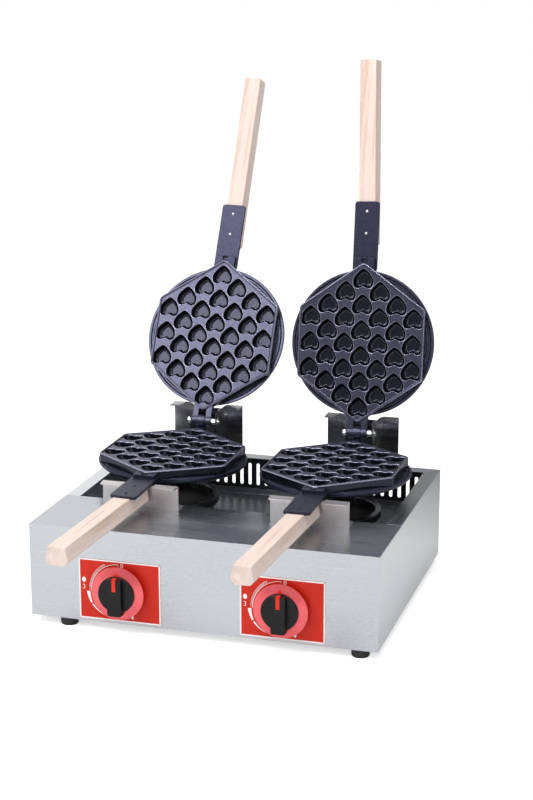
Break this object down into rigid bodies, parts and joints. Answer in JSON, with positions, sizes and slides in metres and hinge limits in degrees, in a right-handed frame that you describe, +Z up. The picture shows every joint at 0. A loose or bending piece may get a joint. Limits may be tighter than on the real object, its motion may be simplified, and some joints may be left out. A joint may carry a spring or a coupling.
{
  "type": "two-pan gas waffle maker",
  "caption": "Countertop gas cooker with two hinged heart-pocket waffle pans, wooden handles, sheet-steel casing, ring burners and two turning knobs; lids open, pans lift out",
  "frame": {"origin": "on the table top, under the middle of the overall bounding box", "axes": "+X to the right along the front panel, +Y from the front to the back, +Z up"},
  "size_m": [0.435, 0.7308, 0.6559],
  "materials": {
    "brushed_steel": "fine brushed stainless sheet",
    "bright_steel": "bright rolled stainless sheet",
    "coated_iron": "satin dark non-stick coated casting",
    "burner_iron": "matte black cast iron",
    "beech": "pale sanded beech",
    "zinc": "bright zinc plate",
    "brass": "machined brass",
    "black_rubber": "moulded black rubber",
    "black_plastic": "satin black plastic",
    "red_pointer": "red filled line",
    "red_metallic": "red metallic paint",
    "red_print": "red printed plate with a pale edge",
    "ceramic": "white glazed ceramic"
  },
  "bodies": {
    "casing": {"front_panel": "brushed_steel", "side_panel_left": "brushed_steel", "side_panel_right": "brushed_steel", "rear_panel": "brushed_steel", "base_plate": "brushed_steel", "burner_tray": "bright_steel", "rubber_feet": "black_rubber", "casing_screws": "zinc", "bracket_screws": "zinc", "gas_rail": "zinc", "gas_inlet": "brass", "front_bracket_left": "bright_steel", "rear_bracket_left": "bright_steel", "burner_bowl_left": "burner_iron", "burner_ring_left": "bright_steel", "venturi_left": "bright_steel", "igniter_left": "ceramic", "injector_left": "brass", "gas_pipe_left": "zinc", "valve_body_left": "brass", "control_plate_left": "red_print", "front_bracket_right": "bright_steel", "rear_bracket_right": "bright_steel", "burner_bowl_right": "burner_iron", "burner_ring_right": "bright_steel", "venturi_right": "bright_steel", "igniter_right": "ceramic", "injector_right": "brass", "gas_pipe_right": "zinc", "valve_body_right": "brass", "control_plate_right": "red_print"},
    "pan_left": {"lower_plate_left": "coated_iron", "lower_handle_left": "beech", "lower_rivets_left": "zinc", "hinge_bolt_left": "zinc", "hinge_nut_left": "zinc"},
    "lid_left": {"upper_plate_left": "coated_iron", "upper_handle_left": "beech", "upper_rivets_left": "zinc"},
    "knob_shaft_left": {"valve_plug_left": "brass"},
    "knob_left": {"knob_skirt_left": "red_metallic", "knob_grip_left": "black_plastic", "knob_pointer_left": "red_pointer", "valve_stem_left": "zinc"},
    "pan_right": {"lower_plate_right": "coated_iron", "lower_handle_right": "beech", "lower_rivets_right": "zinc", "hinge_bolt_right": "zinc", "hinge_nut_right": "zinc"},
    "lid_right": {"upper_plate_right": "coated_iron", "upper_handle_right": "beech", "upper_rivets_right": "zinc"},
    "knob_shaft_right": {"valve_plug_right": "brass"},
    "knob_right": {"knob_skirt_right": "red_metallic", "knob_grip_right": "black_plastic", "knob_pointer_right": "red_pointer", "valve_stem_right": "zinc"}
  },
  "joints": [
    {"name": "pan_lift_left", "type": "slide", "parent": "casing", "child": "pan_left", "axis": [0.0209, 0, 0.9998], "range_m": [0, 0.08]},
    {"name": "lid_hinge_left", "type": "hinge", "parent": "pan_left", "child": "lid_left", "pos_m": [-0.1085, 0.12795, 0.175], "axis": [0.9998, 0, -0.0209], "range_deg": [0, 115.8]},
    {"name": "knob_turn_left", "type": "hinge", "parent": "casing", "child": "knob_shaft_left", "pos_m": [-0.1017, -0.21105, 0.0518], "axis": [0, -1, 0], "range_deg": [0, 210]},
    {"name": "knob_push_left", "type": "slide", "parent": "knob_shaft_left", "child": "knob_left", "axis": [0, 1, 0], "range_m": [0, 0.004], "stiffness_N_per_m": 1500, "springref_m": -0.001},
    {"name": "pan_lift_right", "type": "slide", "parent": "casing", "child": "pan_right", "axis": [-0.0209, 0, 0.9998], "range_m": [0, 0.08]},
    {"name": "lid_hinge_right", "type": "hinge", "parent": "pan_right", "child": "lid_right", "pos_m": [0.1085, 0.12795, 0.175], "axis": [0.9998, 0, 0.0209], "range_deg": [0, 102.5]},
    {"name": "knob_turn_right", "type": "hinge", "parent": "casing", "child": "knob_shaft_right", "pos_m": [0.1017, -0.21105, 0.0518], "axis": [0, -1, 0], "range_deg": [0, 210]},
    {"name": "knob_push_right", "type": "slide", "parent": "knob_shaft_right", "child": "knob_right", "axis": [0, 1, 0], "range_m": [0, 0.004], "stiffness_N_per_m": 1500, "springref_m": -0.001}
  ]
}
